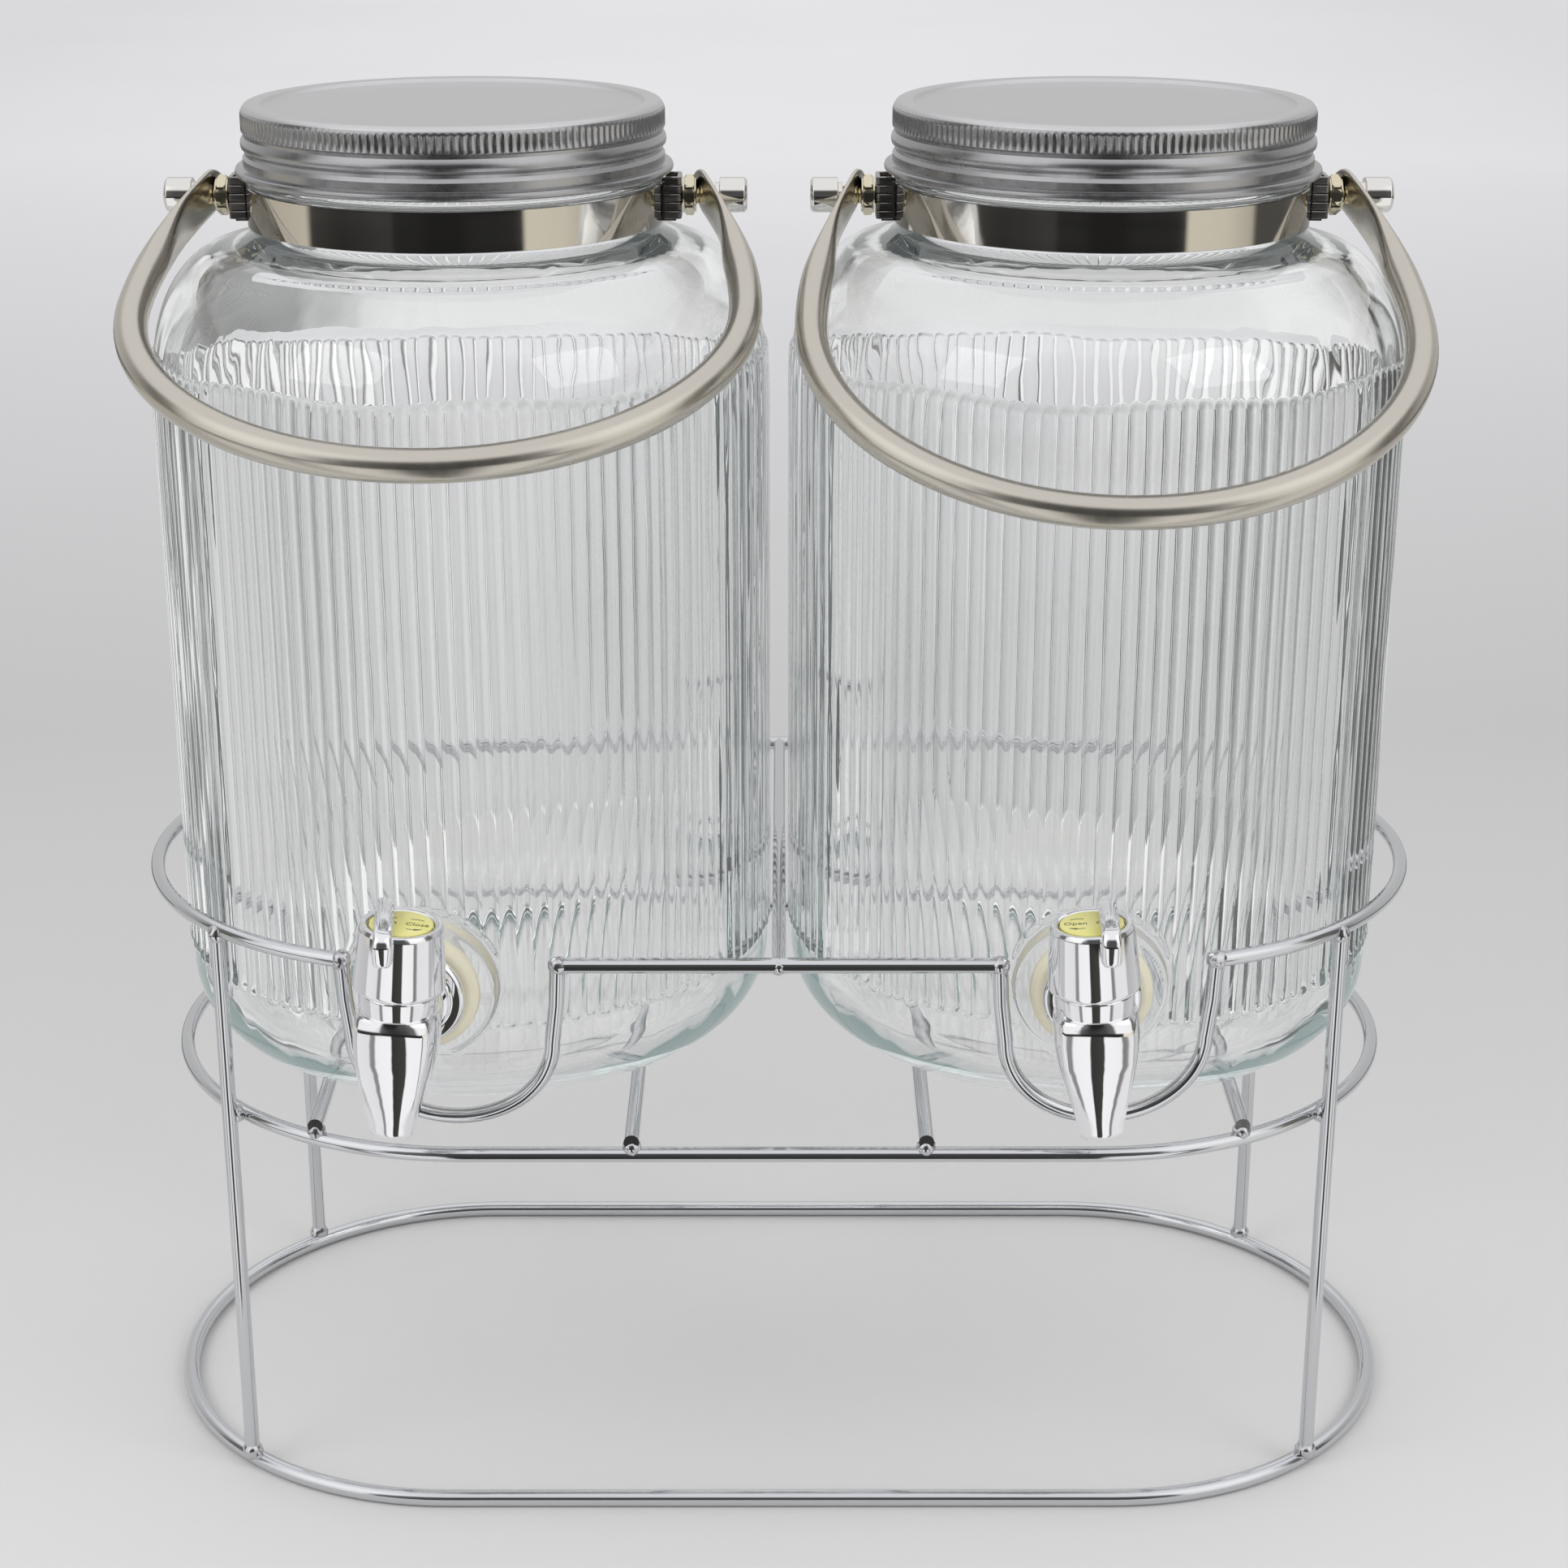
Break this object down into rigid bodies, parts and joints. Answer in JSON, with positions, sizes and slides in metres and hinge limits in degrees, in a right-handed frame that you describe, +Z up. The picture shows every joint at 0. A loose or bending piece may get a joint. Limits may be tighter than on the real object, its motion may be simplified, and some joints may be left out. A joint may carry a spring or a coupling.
{
  "type": "double beverage dispenser",
  "caption": "Ribbed glass drink jars with screw lids, tube handles and turning taps, side by side in an oval chromed wire stand.",
  "frame": {"origin": "on the floor, below the middle of the whole object's box", "axes": "+Z up, +X to the right, +Y to the back; the taps face -Y"},
  "size_m": [0.3472, 0.2067, 0.3606],
  "materials": {
    "black_rubber": "matt",
    "chromed_wire": "bright chrome plating on steel wire",
    "clear_glass": "clear pressed glass",
    "pale_silicone": "pale silicone",
    "plated_plastic": "mirror chrome plating",
    "polished_steel": "polished steel",
    "satin_lid": "satin silver sheet",
    "satin_steel": "satin stainless",
    "white_liner": "matt",
    "white_plastic": "matt",
    "yellow_disc": "matt pale yellow"
  },
  "bodies": {
    "stand": {"base_ring": "chromed_wire", "cross_wire_1": "chromed_wire", "cross_wire_2": "chromed_wire", "cross_wire_3": "chromed_wire", "cross_wire_4": "chromed_wire", "divider_bar": "chromed_wire", "left_notch_wire": "chromed_wire", "leg_front_left": "chromed_wire", "leg_front_right": "chromed_wire", "leg_rear_left": "chromed_wire", "leg_rear_right": "chromed_wire", "rail_front": "chromed_wire", "rail_outer": "chromed_wire", "right_notch_wire": "chromed_wire", "shelf_ring": "chromed_wire"},
    "left_jar": {"left_glass_jar": "clear_glass", "left_band_front": "polished_steel", "left_band_rear": "polished_steel", "left_clip_outer": "polished_steel", "left_clip_inner": "polished_steel", "left_bolt_outer": "satin_steel", "left_bolt_inner": "satin_steel", "left_jam_nut_outer": "polished_steel", "left_jam_nut_inner": "polished_steel", "left_cap_nut_outer": "polished_steel", "left_cap_nut_inner": "polished_steel", "left_tap_body": "plated_plastic", "left_knob_disc": "yellow_disc", "left_outer_washer": "pale_silicone", "left_inner_washer": "pale_silicone", "left_tap_nut": "white_plastic"},
    "left_lid_lift": {"left_lid_liner": "white_liner"},
    "left_lid": {"left_lid": "satin_lid"},
    "left_bail": {"left_bail": "satin_steel"},
    "left_tap_knob": {"left_tap_knob": "plated_plastic", "left_tap_rotor": "white_plastic", "left_tap_oring": "black_rubber"},
    "right_jar": {"right_glass_jar": "clear_glass", "right_band_front": "polished_steel", "right_band_rear": "polished_steel", "right_clip_outer": "polished_steel", "right_clip_inner": "polished_steel", "right_bolt_outer": "satin_steel", "right_bolt_inner": "satin_steel", "right_jam_nut_outer": "polished_steel", "right_jam_nut_inner": "polished_steel", "right_cap_nut_outer": "polished_steel", "right_cap_nut_inner": "polished_steel", "right_tap_body": "plated_plastic", "right_knob_disc": "yellow_disc", "right_outer_washer": "pale_silicone", "right_inner_washer": "pale_silicone", "right_tap_nut": "white_plastic"},
    "right_lid_lift": {"right_lid_liner": "white_liner"},
    "right_lid": {"right_lid": "satin_lid"},
    "right_bail": {"right_bail": "satin_steel"},
    "right_tap_knob": {"right_tap_knob": "plated_plastic", "right_tap_rotor": "white_plastic", "right_tap_oring": "black_rubber"}
  },
  "joints": [
    {"name": "left_jar_lift", "type": "slide", "parent": "stand", "child": "left_jar", "axis": [0, 0, 1], "range_m": [0, 0.06]},
    {"name": "left_lid_lift", "type": "slide", "parent": "left_jar", "child": "left_lid_lift", "axis": [0, 0, 1], "range_m": [0, 0.05]},
    {"name": "left_lid_turn", "type": "hinge", "parent": "left_lid_lift", "child": "left_lid", "pos_m": [-0.0825, 0.0164, 0.3432], "axis": [0, 0, 1], "range_deg": [0, 450]},
    {"name": "left_bail_swing", "type": "hinge", "parent": "left_jar", "child": "left_bail", "pos_m": [-0.0825, 0.0164, 0.3367], "axis": [-1, 0, 0], "range_deg": [-13.5, 239.5]},
    {"name": "left_tap_turn", "type": "hinge", "parent": "left_jar", "child": "left_tap_knob", "pos_m": [-0.09294, -0.09009, 0.1505], "axis": [0.0764, -0.0075, 0.9971], "range_deg": [-10.5, 169.5]},
    {"name": "right_jar_lift", "type": "slide", "parent": "stand", "child": "right_jar", "axis": [0, 0, 1], "range_m": [0, 0.06]},
    {"name": "right_lid_lift", "type": "slide", "parent": "right_jar", "child": "right_lid_lift", "axis": [0, 0, 1], "range_m": [0, 0.05]},
    {"name": "right_lid_turn", "type": "hinge", "parent": "right_lid_lift", "child": "right_lid", "pos_m": [0.0825, 0.0164, 0.3432], "axis": [0, 0, 1], "range_deg": [0, 450]},
    {"name": "right_bail_swing", "type": "hinge", "parent": "right_jar", "child": "right_bail", "pos_m": [0.0825, 0.0164, 0.3367], "axis": [-1, 0, 0], "range_deg": [-6.5, 246.5]},
    {"name": "right_tap_turn", "type": "hinge", "parent": "right_jar", "child": "right_tap_knob", "pos_m": [0.07737, -0.09048, 0.1505], "axis": [-0.0732, 0.0035, 0.9973], "range_deg": [-180, 0]}
  ]
}
